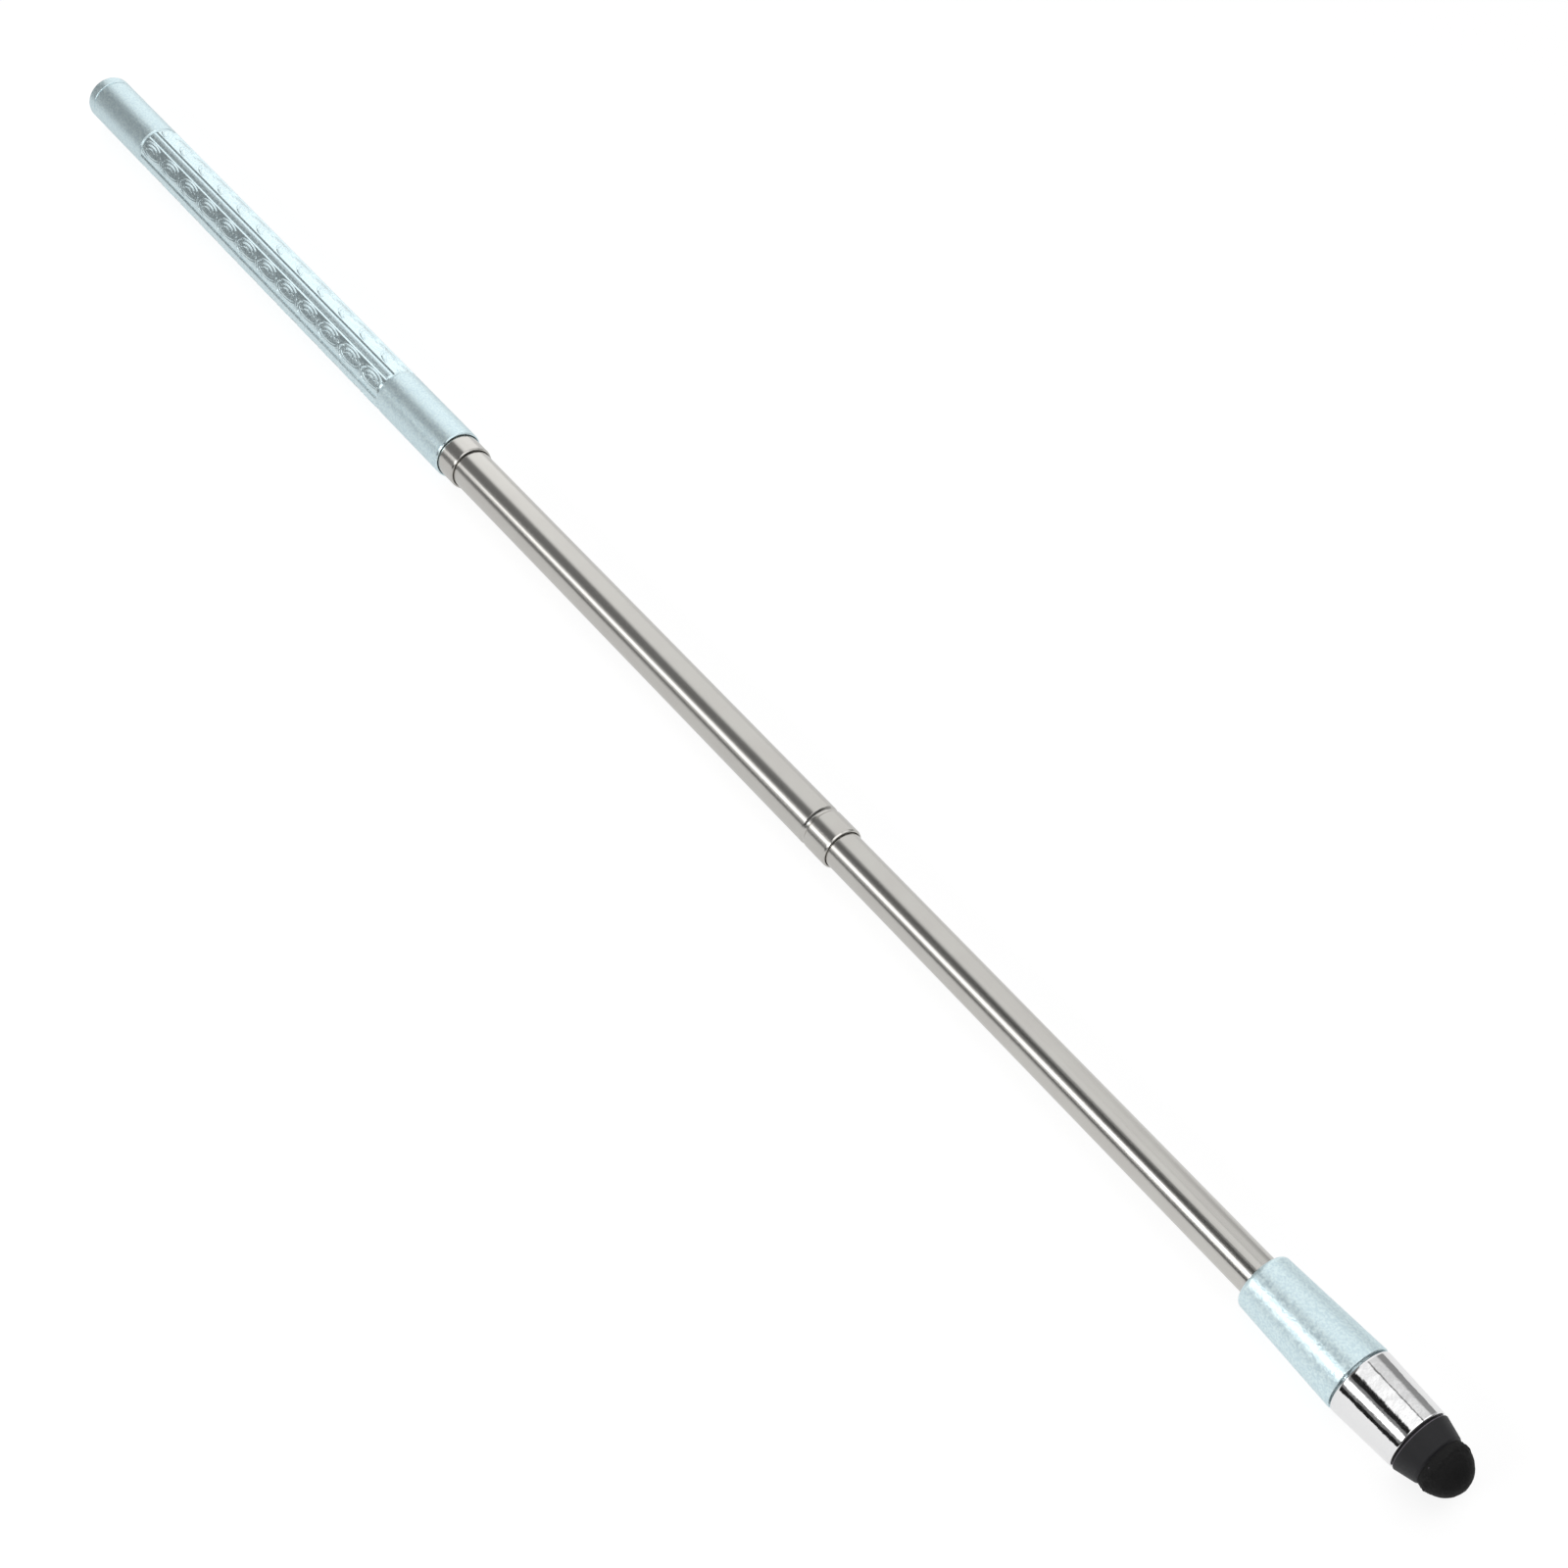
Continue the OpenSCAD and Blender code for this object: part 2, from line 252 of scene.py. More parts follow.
# The dies press the grain of the bands smoother than that of the plain parts, and the bevel is cut bright
at_x, at_y, at_z = add(tree, "ShaderNodeSeparateXYZ", {0: place}).outputs
off_rib = add(tree, "ShaderNodeMath", {0: at_y, 1: at_z}, operation="ARCTAN2")
off_rib = add(tree, "ShaderNodeMath", {0: off_rib, 1: first_rib}, operation="ADD")
off_rib = add(tree, "ShaderNodeMath", {0: off_rib, 1: math.pi / ribs}, operation="PINGPONG")
bands = add(tree, "ShaderNodeMath", {0: off_rib, 1: math.radians(furrow_at)}, operation="GREATER_THAN")
grip_middle, grip_half = (grip_start + grip_end) / 2, (grip_end - grip_start - 1) / 2
pressed = add(tree, "ShaderNodeMath", {0: at_x, 1: grip_middle * MM, 2: grip_half * MM}, operation="COMPARE")
pressed_bands = add(tree, "ShaderNodeMath", {0: pressed, 1: bands}, operation="MULTIPLY")
cut = add(tree, "ShaderNodeMath", {0: at_x, 1: mouth * MM, 2: bevel * MM}, operation="COMPARE")
calm = bump.inputs["Strength"].default_value
for burnish, smoother, flatter in ((pressed, 0.1, 0.3), (pressed_bands, 0.08, 0.4), (cut, 0.15, 0.7)):
    blast = add(tree, "ShaderNodeMath", {0: burnish, 1: -smoother, 2: blast}, operation="MULTIPLY_ADD")
    calm = add(tree, "ShaderNodeMath", {0: burnish, 1: -flatter, 2: calm}, operation="MULTIPLY_ADD")
connect(tree, shader, {"Roughness": blast})
connect(tree, bump, {"Strength": calm})

# The oval swirls of the five bands: each is a round scroll of low rolled ridges, drawn out along the
# barrel to more than twice its width. They are rolled into the barrel, so they join its mesh.
swirls_in_band = 12
sizes = {
    "Swirls in a band": swirls_in_band, "Bands": ribs, "Start": grip_start * MM,
    "Pitch": (grip_end - grip_start) / swirls_in_band * MM, "Half length": 4.55 * MM,
    "Half width": 1.98 * MM, "Ridge height": 1.75 * MM, "Floor radius": floor_r * MM,
    "First band": first_rib + math.pi / ribs}
swirls = bpy.data.node_groups.new("oval_swirls", "GeometryNodeTree")
for name, value in sizes.items():
    kind = "NodeSocketInt" if isinstance(value, int) else "NodeSocketFloat"
    swirls.interface.new_socket(name, in_out="INPUT", socket_type=kind)
swirls.interface.new_socket("Swirls", in_out="OUTPUT", socket_type="NodeSocketGeometry")
size = add(swirls, "NodeGroupInput").outputs

# Ridges of one scroll in a circle of radius 1: middle u and v, radius, start and sweep in degrees, half
# width, and rise, which is the share of the full roof that it has. The tallest stand 0.14 mm high.
ridges = [
    (0.0, 0.0, 0.85, 266, -262, 0.14, 1.0),
    (0.0, 0.0, 0.66, 182, 78, 0.17, 0.75),
    (-0.02, -0.04, 0.60, 190, -168, 0.14, 1.0),
    (-0.03, -0.12, 0.37, 188, -160, 0.12, 1.0),
    (0.09, 0.476, 0.877, 234, 98, 0.12, 0.55),
    (0.09, 0.476, 1.09, 260, 62, 0.1, 0.55)]
point_step = 7  # degrees along a ridge
# A ridge swells from a point at each end to its full width
factor = add(swirls, "GeometryNodeSplineParameter")
swell = add(swirls, "ShaderNodeMath", {0: factor, 1: math.pi}, operation="MULTIPLY")
swell = add(swirls, "ShaderNodeMath", {0: swell}, operation="SINE")
swell = add(swirls, "ShaderNodeMath", {0: swell, 1: 0.5}, operation="POWER")
# Its section is a low roof, three points of a circle, set a little into the floor
section = add(swirls, "GeometryNodeCurveArc", {
    "Resolution": 3, "Radius": 1.0, "Start Angle": math.radians(200), "Sweep Angle": math.radians(140)})
section = add(swirls, "GeometryNodeSetSplineCyclic", {0: section, "Cyclic": True})
section = add(swirls, "GeometryNodeTransform", {0: section, "Translation": (0, 0.45, 0)})
strokes = []
for u, v, radius, start, sweep, half_width, rise in ridges:
    line = add(swirls, "GeometryNodeCurveArc", {
        "Resolution": 4 + abs(sweep) // point_step, "Radius": radius,
        "Start Angle": math.radians(start), "Sweep Angle": math.radians(sweep)})
    line = add(swirls, "GeometryNodeTransform", {0: line, "Translation": (u, v, 0)})
    width = add(swirls, "ShaderNodeMath", {0: swell, 1: half_width}, operation="MULTIPLY")
    roof = add(swirls, "GeometryNodeTransform", {0: section, "Scale": (1, rise, 1)})
    strokes.append(add(swirls, "GeometryNodeCurveToMesh", {
        "Curve": line, "Profile Curve": roof, "Scale": width, "Fill Caps": True}).outputs[0])
scroll = add(swirls, "GeometryNodeJoinGeometry", {0: strokes})
stretch = add(swirls, "ShaderNodeCombineXYZ", {
    0: size["Half length"], 1: size["Half width"], 2: size["Ridge height"]})
scroll = add(swirls, "GeometryNodeTransform", {0: scroll, "Scale": stretch})

# One point for each scroll on the unrolled bands: x along the barrel, y round it towards +Y
total = add(swirls, "ShaderNodeMath", {0: size["Swirls in a band"], 1: size["Pitch"]}, operation="MULTIPLY")
around = add(swirls, "ShaderNodeMath", {0: size["Floor radius"], 1: math.tau}, operation="MULTIPLY")
around = add(swirls, "ShaderNodeMath", {0: around, 1: size["Bands"]}, operation="DIVIDE")
gaps_x = add(swirls, "ShaderNodeMath", {0: size["Swirls in a band"], 1: 1.0}, operation="SUBTRACT")
gaps_y = add(swirls, "ShaderNodeMath", {0: size["Bands"], 1: 1.0}, operation="SUBTRACT")
long = add(swirls, "ShaderNodeMath", {0: gaps_x, 1: size["Pitch"]}, operation="MULTIPLY")
wide = add(swirls, "ShaderNodeMath", {0: gaps_y, 1: around}, operation="MULTIPLY")
points = add(swirls, "GeometryNodeMeshGrid", {
    "Size X": long, "Size Y": wide, "Vertices X": size["Swirls in a band"], "Vertices Y": size["Bands"]})
centre_x = add(swirls, "ShaderNodeMath", {0: total, 1: 0.5, 2: size["Start"]}, operation="MULTIPLY_ADD")
shift = add(swirls, "ShaderNodeCombineXYZ", {0: centre_x})
points = add(swirls, "GeometryNodeTransform", {0: points, "Translation": shift})
flat = add(swirls, "GeometryNodeInstanceOnPoints", {"Points": points, "Instance": scroll})
flat = add(swirls, "GeometryNodeRealizeInstances", {0: flat})

# Trimmed along the slopes at the grip's ends, and rolled up onto the band floors
trim_from, trim_to, trim_height = 0.7 * MM, 1.2 * MM, 0.3 * MM
position = add(swirls, "GeometryNodeInputPosition")
flat_x, flat_y, flat_z = add(swirls, "ShaderNodeSeparateXYZ", {0: position}).outputs
inside = add(swirls, "ShaderNodeMath", {0: flat_x, 1: size["Start"]}, operation="SUBTRACT")
to_end = add(swirls, "ShaderNodeMath", {0: total, 1: inside}, operation="SUBTRACT")
inside = add(swirls, "ShaderNodeMath", {0: inside, 1: to_end}, operation="MINIMUM")
trim = add(swirls, "ShaderNodeMapRange", {
    0: inside, 1: trim_from, 2: trim_to, 3: -trim_height, 4: trim_height})
trim = add(swirls, "ShaderNodeMath", {0: flat_z, 1: trim}, operation="MINIMUM")
turn = add(swirls, "ShaderNodeMath", {0: flat_y, 1: size["Floor radius"]}, operation="DIVIDE")
turn = add(swirls, "ShaderNodeMath", {0: size["First band"], 1: turn}, operation="SUBTRACT")
height = add(swirls, "ShaderNodeMath", {0: trim, 1: size["Floor radius"]}, operation="ADD")
across = add(swirls, "ShaderNodeMath", {0: turn}, operation="SINE")
across = add(swirls, "ShaderNodeMath", {0: across, 1: height}, operation="MULTIPLY")
across = add(swirls, "ShaderNodeMath", {0: across, 1: -1.0}, operation="MULTIPLY")
up = add(swirls, "ShaderNodeMath", {0: turn}, operation="COSINE")
up = add(swirls, "ShaderNodeMath", {0: up, 1: height}, operation="MULTIPLY")
wrapped = add(swirls, "ShaderNodeCombineXYZ", {0: flat_x, 1: across, 2: up})
wrapped = add(swirls, "GeometryNodeSetPosition", {0: flat, "Position": wrapped})
wrapped = add(swirls, "GeometryNodeSetMaterial", {0: wrapped, "Material": anodised})
add(swirls, "NodeGroupOutput", {0: wrapped})

carrier = bpy.data.objects.new("oval_swirls", bpy.data.meshes.new("oval_swirls"))
bpy.context.scene.collection.objects.link(carrier)
modifier = carrier.modifiers.new("oval_swirls", "NODES")
modifier.node_group = swirls
for socket in swirls.interface.items_tree:
    if socket.in_out == "INPUT":
        modifier[socket.identifier] = sizes[socket.name]
evaluated = carrier.evaluated_get(bpy.context.evaluated_depsgraph_get())
swirl_mesh = bpy.data.meshes.new_from_object(evaluated)
bpy.data.objects.remove(carrier)
bm = bmesh.new()
bm.from_mesh(swirl_mesh)
bmesh.ops.recalc_face_normals(bm, faces=bm.faces)
bm.from_mesh(barrel.data)
bm.to_mesh(barrel.data)
bm.free()
shade(barrel.data, 50)
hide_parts("handle_barrel")
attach(barrel, "handle")

# Outer tube: drawn stainless tube pressed into the barrel, so only its polished mouth shows. A groove
# rolled into it stops the next tube, and its lip is curled in to guide that tube.
outer_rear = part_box("outer_tube")[0].x / MM
outer_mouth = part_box("outer_tube")[1].x / MM
outer_r, tube_wall, tube_step = 4.5, 0.25, 0.5  # mm; each tube's radius is one step under the last
groove_back = 6

# Drawn and polished stainless: fine draw lines along the tube stretch and fray the reflections across
# it, over a soft sheen that is less sharp than plating.
stainless, tree, shader, place = finish_named("stainless_steel")
line_w, line_len, line_depth, tone_cloud = 0.16, 40, 0.008, 6  # mm
along = add(tree, "ShaderNodeMapping", {
    "Vector": place, "Scale": (1 / (line_len * MM), 1 / (line_w * MM), 1 / (line_w * MM))})
draw = add(tree, "ShaderNodeTexNoise", {"Vector": along, "Scale": 1.0, "Detail": 2.0})
cloud = add(tree, "ShaderNodeTexNoise", {"Vector": place, "Scale": 1 / (tone_cloud * MM), "Detail": 4.0})
tone = add(tree, "ShaderNodeMix", {0: cloud, 6: linear("#c7c4c0"), 7: linear("#cfcec9")}, data_type="RGBA")
polish = add(tree, "ShaderNodeMapRange", {0: draw, 1: 0.3, 2: 0.7, 3: 0.18, 4: 0.25})
bump = add(tree, "ShaderNodeBump", {"Height": draw, "Distance": line_depth * MM, "Strength": 1.0})
connect(tree, shader, {"Base Color": tone.outputs[2], "Roughness": polish, "Normal": bump, "Metallic": 1.0})


def rolled_groove(x, r, half, depth):
    """Outline of a groove about station x in a surface of radius r: round edges, steep walls, flat bottom."""
    wall = [(1, 0), (0.95, 0.02), (0.9, 0.08), (0.4, 0.92), (0.35, 0.98), (0.28, 1)]
    return ([(x - half * s, r - depth * d) for s, d in wall]
            + [(x + half * s, r - depth * d) for s, d in wall[::-1]])


def tube_mouth(r, mouth):
    """Outline of a tube's front part, from outside to inside: groove, curled lip, and the bore's bead."""
    groove_x, tube_bore, lip_r = mouth - groove_back, r - tube_wall, r - tube_step + 0.1
    lip_edge = [(0.44, 0), (0.38, 0.006), (0.32, 0.02), (0.09, 0.084), (0.04, 0.106), (0, 0.16)]
    return [*rolled_groove(groove_x, r, half=0.68, depth=0.32),
            *[(mouth - back, r - down) for back, down in lip_edge],
            *arc(mouth - 0.08, lip_r + 0.06, 0.08, 0.06, 0, -90, 4), (mouth - 0.35, lip_r),
            (mouth - 0.45, tube_bore), *rolled_groove(groove_x, tube_bore, half=0.6, depth=0.2)[::-1]]


outer = turned("outer_tube", [
    (outer_rear, outer_r - tube_wall), (outer_rear, outer_r), *tube_mouth(outer_r, outer_mouth)],
    stainless, sides=128)
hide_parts("outer_tube")
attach(outer, "handle")

# Friction shims of the middle tube: two half shells pressed from phosphor bronze strip. They lie in the
# tube's neck and rub on the outer tube's bore.
rub_len, rub_w = 6, 0.3  # mm


def carried_over(material, *nodes):
    """Gives its real finish to CAD nodes that keep their shape."""
    for node in nodes:
        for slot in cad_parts[node].material_slots:
            slot.material = material


# Bare rolled strip: brown-gold, with rub marks along the slide.
bronze, tree, shader, place = finish_named("phosphor_bronze")
rub = add(tree, "ShaderNodeMapping", {
    "Vector": place, "Scale": (1 / (rub_len * MM), 1 / (rub_w * MM), 1 / (rub_w * MM))})
rub = add(tree, "ShaderNodeTexNoise", {"Vector": rub, "Scale": 1.0, "Detail": 2.0})
tone = add(tree, "ShaderNodeMix", {0: rub, 6: linear("#a8763f"), 7: linear("#c99a5e")}, data_type="RGBA")
worn = add(tree, "ShaderNodeMapRange", {0: rub, 1: 0.3, 2: 0.7, 3: 0.28, 4: 0.45})
connect(tree, shader, {"Base Color": tone.outputs[2], "Roughness": worn, "Metallic": 1.0})
carried_over(bronze, "middle_shim_top", "middle_shim_bottom")

# Middle tube: drawn stainless tube that slides and turns in the outer tube, with the same rolled groove
# and curled lip at its own mouth. Its rear end is necked for the shims.
middle_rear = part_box("middle_tube")[0].x / MM
middle_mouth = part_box("middle_tube")[1].x / MM
middle_r = outer_r - tube_step


def tube_neck(r, rear):
    """Outline of a sliding tube's rear end, from inside to outside, necked where its shims sit."""
    neck = [(13.5, 0), (13.35, 0.15), (1.65, 0.15), (1.5, 0), (0, 0)]  # mm from the rear end, mm inwards
    return ([(rear + on, r - tube_wall - down) for on, down in neck]
            + [(rear + on, r - down) for on, down in neck[::-1]])


middle_tube = turned("middle_tube", [
    *tube_neck(middle_r, middle_rear), *tube_mouth(middle_r, middle_mouth)], stainless, sides=128)
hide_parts("middle_tube")
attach(middle_tube, "middle")

# Friction shims of the inner tube: the same half shells of phosphor bronze strip, one size down. They lie
# in that tube's neck and rub on the middle tube's bore.
carried_over(bronze, "tip_shim_top", "tip_shim_bottom")

# Inner tube: the thinnest drawn stainless tube. It slides and turns in the middle tube, and the tip
# holder is pushed over its front end.
inner_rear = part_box("inner_tube")[0].x / MM
inner_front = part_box("inner_tube")[1].x / MM
inner_r, end_bevel = middle_r - tube_step, 0.1
inner_tube = turned("inner_tube", [
    *tube_neck(inner_r, inner_rear), (inner_front - end_bevel, inner_r),
    (inner_front, inner_r - end_bevel), (inner_front, inner_r - tube_wall)], stainless, sides=128)
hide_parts("inner_tube")
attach(inner_tube, "tip")

# Tip stud and nib stem: turned brass. The stud is crimped in the inner tube and holds the ferrule; the
# stem takes the charge from the nib's ball to the ferrule.
tool_mark = 0.3  # mm; a wave of the texture is 2 pi of these, coarser than real tool marks

# Turned brass: bright yellow metal with rings from the tool.
brass, tree, shader, place = finish_named("turned_brass")
feed = add(tree, "ShaderNodeTexWave", {
    "Vector": place, "Scale": 1 / (20 * tool_mark * MM), "Distortion": 0.5}).outputs["Fac"]
shine = add(tree, "ShaderNodeMapRange", {0: feed, 3: 0.18, 4: 0.32})
tone = add(tree, "ShaderNodeMix", {0: feed, 6: linear("#c09a45"), 7: linear("#d3b25f")}, data_type="RGBA")
connect(tree, shader, {"Base Color": tone.outputs[2], "Roughness": shine, "Metallic": 1.0})
carried_over(brass, "tip_stud", "nib_stem")

# Tip holder: a flared sleeve turned from aluminium, blasted and anodised with the handle. It is pushed
# over the inner tube and clamped by the ferrule.
holder_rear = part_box("tip_holder")[0].x / MM
holder_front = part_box("tip_holder")[1].x / MM
flare_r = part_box("tip_holder")[1].z / MM
fit = 0.02  # mm of play in a seat
tube_seat_r, stud_r, spigot_r, spigot_len = inner_r + fit, 2.0, 4.0, 4
shoulder, flare_at = 0.9, 8
holder = turned("tip_holder", [
    (holder_rear + 0.3, tube_seat_r), (holder_rear, tube_seat_r + 0.2), (holder_rear, handle_r - shoulder),
    *arc(holder_rear + shoulder, handle_r - 0.86, shoulder, shoulder, 180, 92, 10),
    (holder_rear + flare_at, handle_r + (flare_r - handle_r) * flare_at / (holder_front - holder_rear)),
    *arc(holder_front - 0.2, flare_r - 0.15, 0.2, 0.15, 90, 0, 8), (holder_front, spigot_r + fit),
    (holder_front - (spigot_len + fit), spigot_r + fit), (holder_front - (spigot_len + fit), stud_r + fit),
    (inner_front + fit, stud_r + fit), (inner_front + fit, tube_seat_r)], anodised)
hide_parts("tip_holder")
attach(holder, "tip")

# Ferrule: a ring turned from brass, polished and chrome plated. It screws onto the stud, and its front
# socket holds the nib.
ferrule_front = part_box("ferrule")[1].x / MM
front_r = 5.335
stud_reach, socket_r, socket_depth, stem_r, stem_depth = 3, 4.0, 5, 1.5, 6.2

# Bright chrome: a near mirror, cool and neutral, with the faint waviness of hand polishing.
chrome, tree, shader, place = finish_named("chrome_plate")
wave_len, wave_depth, haze_grain = 1.8, 0.032, 0.4  # mm
wave = add(tree, "ShaderNodeTexNoise", {"Vector": place, "Scale": 1 / (wave_len * MM), "Detail": 3.0})
haze = add(tree, "ShaderNodeTexNoise", {"Vector": place, "Scale": 1 / (haze_grain * MM), "Detail": 3.0})
gloss = add(tree, "ShaderNodeMapRange", {0: haze, 1: 0.3, 2: 0.7, 3: 0.05, 4: 0.11})
tone = add(tree, "ShaderNodeMix", {0: haze, 6: linear("#e9e9ea"), 7: linear("#f0f0f0")}, data_type="RGBA")
bump = add(tree, "ShaderNodeBump", {"Height": wave, "Distance": wave_depth * MM, "Strength": 1.0})
connect(tree, shader, {"Base Color": tone.outputs[2], "Roughness": gloss, "Normal": bump, "Metallic": 1.0})

ferrule = turned("ferrule", [
    (holder_front - spigot_len, stud_r + fit), (holder_front - spigot_len, spigot_r),
    (holder_front, spigot_r), (holder_front, flare_r - 1.3), (holder_front + 0.3, flare_r - 1.25),
    *arc(holder_front + 0.7, flare_r - 0.25, 0.4, 0.22, 180, 90, 8),
    *arc(ferrule_front - 0.3, front_r - 0.14, 0.3, 0.14, 90, 0, 8),
    (ferrule_front, socket_r), (ferrule_front - socket_depth, socket_r),
    (ferrule_front - socket_depth, stem_r + fit), (ferrule_front - stem_depth, stem_r + fit),
    (ferrule_front - stem_depth, 0), (holder_front + (stud_reach + fit), 0),
    (holder_front + (stud_reach + fit), stud_r + fit)], chrome, sides=176)
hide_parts("ferrule")
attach(ferrule, "tip")

# Nib skirt: a cone moulded from black rubber, with its plug glued in the ferrule's socket and a round
# seat in front for the ball.
ball_r = 4.25
ball_x, ball_seat_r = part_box("nib_ball")[1].x / MM - ball_r, ball_r + fit
skirt_r, skirt_rim_r = front_r - 0.06, 4.52
skirt_rear = ferrule_front + 0.38
skirt_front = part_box("nib_skirt")[1].x / MM
skirt_plug_rear, skirt_plug_r = ferrule_front - (socket_depth - fit), socket_r - fit

# Moulded rubber: soft charcoal with a faint mould texture, here and there a speck of dust, and a painted
# highlight: a grey band on the rounded rear rim beside the ferrule, where that edge catches the light.
rubber, tree, shader, place = finish_named("black_rubber")
mould_grain, mould_depth, dust_gap = 0.3, 0.012, 2.6  # mm
mould = add(tree, "ShaderNodeTexNoise", {"Vector": place, "Scale": 1 / (mould_grain * MM), "Detail": 3.0})
dust = add(tree, "ShaderNodeTexVoronoi", {"Vector": place, "Scale": 1 / (dust_gap * MM)})
speck = add(tree, "ShaderNodeMapRange", {0: dust, 1: 0.06, 2: 0.1, 3: 0.7, 4: 0.0})
at_x = add(tree, "ShaderNodeSeparateXYZ", {0: place})
# Painted highlight: a narrow grey band on the skirt's rounded rear rim stands in for the light that this edge
# catches
painted_rim_highlight = add(tree, "ShaderNodeMath", {
    0: at_x, 1: (skirt_rear + 0.06) * MM, 2: 0.09 * MM}, operation="COMPARE")
painted_rim_highlight = add(tree, "ShaderNodeMath", {0: painted_rim_highlight, 1: 0.8}, operation="MULTIPLY")
# From here the speck mask holds both the dust and the painted rim highlight
speck = add(tree, "ShaderNodeMath", {0: speck, 1: painted_rim_highlight}, operation="MAXIMUM")
tone = add(tree, "ShaderNodeMix", {0: mould, 6: linear("#1e1e21"), 7: linear("#262629")}, data_type="RGBA")
tone = add(tree, "ShaderNodeMix", {0: speck, 6: tone.outputs[2], 7: linear("#77717a")}, data_type="RGBA")
matt = add(tree, "ShaderNodeMapRange", {0: mould, 1: 0.3, 2: 0.7, 3: 0.5, 4: 0.62})
bump = add(tree, "ShaderNodeBump", {"Height": mould, "Distance": mould_depth * MM, "Strength": 1.0})
connect(tree, shader, {
    "Base Color": tone.outputs[2], "Roughness": matt, "Normal": bump, "Specular IOR Level": 0.4})

seat_x = skirt_front - ball_x
seat = math.degrees(math.atan2(math.sqrt(ball_seat_r ** 2 - seat_x ** 2), seat_x))
skirt = turned("nib_skirt", [
    (skirt_plug_rear, stem_r + fit), (skirt_plug_rear, skirt_plug_r), (ferrule_front + fit, skirt_plug_r),
    (ferrule_front + fit, skirt_r - 0.55), (skirt_rear, skirt_r - 0.5),
    *arc(skirt_rear + 0.14, skirt_r - 0.14, 0.14, 0.14, 180, 82),
    *arc(skirt_front - 0.75, skirt_rim_r - 0.5, 0.75, 0.5, 79, 18),
    *arc(ball_x, 0, ball_seat_r, ball_seat_r, seat, 157, 10)], rubber)
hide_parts("nib_skirt")
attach(skirt, "tip")

# Nib ball: a ball of soft carbon-filled silicone on the stem, seated in the skirt. Its skin is rough, and
# a ragged flash from the mould stands round it near the skirt.
lump, lump_size, lump_sink = 0.05, 0.9, 0.02  # mm
flash_at, flash_half, flash_height, flash_size = 0.3, 1.3, 0.5, 0.5  # mm, from the ball's middle

# Carbon-filled silicone: dull near-black, grainy, with stray specks of dust.
conductive, tree, shader, place = finish_named("conductive_rubber")
carbon_grain, carbon_depth, dust_gap = 0.25, 0.03, 2.2  # mm
carbon = add(tree, "ShaderNodeTexNoise", {"Vector": place, "Scale": 1 / (carbon_grain * MM), "Detail": 4.0})
dust = add(tree, "ShaderNodeTexVoronoi", {"Vector": place, "Scale": 1 / (dust_gap * MM)})
speck = add(tree, "ShaderNodeMapRange", {0: dust, 1: 0.06, 2: 0.11, 3: 0.6, 4: 0.0})
tone = add(tree, "ShaderNodeMix", {0: carbon, 6: linear("#161616"), 7: linear("#1f1f1f")}, data_type="RGBA")
tone = add(tree, "ShaderNodeMix", {0: speck, 6: tone.outputs[2], 7: linear("#5e585f")}, data_type="RGBA")
matt = add(tree, "ShaderNodeMapRange", {0: carbon, 1: 0.3, 2: 0.7, 3: 0.7, 4: 0.85})
bump = add(tree, "ShaderNodeBump", {"Height": carbon, "Distance": carbon_depth * MM, "Strength": 1.0})
connect(tree, shader, {
    "Base Color": tone.outputs[2], "Roughness": matt, "Normal": bump, "Specular IOR Level": 0.25})

ball = turned("nib_ball", [
    (ball_x + ball_r, 0), *arc(ball_x, 0, ball_r, ball_r, 2.5, 158, 60),
    (ball_x - 1.5, stem_r + fit), (ball_x, stem_r + fit), (ball_x, 0)], conductive)
centre = Vector((ball_x * MM, 0, 0))
for vertex in ball.data.vertices:
    spoke = vertex.co - centre
    if spoke.length > 0.9 * ball_r * MM:
        lumps = lump * noise.fractal(vertex.co / (lump_size * MM), 1.0, 2.0, 4) - lump_sink
        near_flash = max(0.0, 1 - abs(spoke.x / MM - flash_at) / flash_half)
        flash = near_flash * abs(noise.noise(vertex.co / (flash_size * MM)))
        vertex.co += spoke.normalized() * (lumps + flash_height * flash) * MM
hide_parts("nib_ball")
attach(ball, "tip")

# Floor: a plain pale sheet under the stylus. To the eye and in the metal it is near white, and the
# stylus's soft shadow stays on it.
floor_z = cad_box[0].z
corners = [(-3, -3, floor_z), (3.4, -3, floor_z), (3.4, 3, floor_z), (-3, 3, floor_z)]
floor_paint, tree, shader, place = finish_named("pale_sheet")
connect(tree, shader, {"Base Color": linear("#8c8c8c"), "Roughness": 0.9, "Specular IOR Level": 0.0})
path = add(tree, "ShaderNodeLightPath").outputs
mirrored = add(tree, "ShaderNodeMath", {
    0: path["Is Glossy Ray"], 1: path["Is Transmission Ray"]}, operation="MAXIMUM")
# In the metal it is lighter in front of the nib
at_x = add(tree, "ShaderNodeSeparateXYZ", {0: place})
pale = add(tree, "ShaderNodeMapRange", {0: at_x, 1: 0.25, 2: 0.42, 3: 0.62, 4: 0.76})
mirrored = add(tree, "ShaderNodeMath", {0: mirrored, 1: pale}, operation="MULTIPLY")
glow = add(tree, "ShaderNodeMath", {0: path["Is Camera Ray"], 1: 0.84, 2: mirrored}, operation="MULTIPLY_ADD")
glow = add(tree, "ShaderNodeEmission", {"Strength": glow})
both = add(tree, "ShaderNodeAddShader", {0: shader, 1: glow})
connect(tree, tree.nodes["Material Output"], {0: both})
floor_mesh = bpy.data.meshes.new("pale_sheet")
floor_mesh.from_pydata(corners, [], [(0, 1, 2, 3)])
floor_mesh.materials.append(floor_paint)
sheet = bpy.data.objects.new("pale_sheet", floor_mesh)
bpy.context.scene.collection.objects.link(sheet)

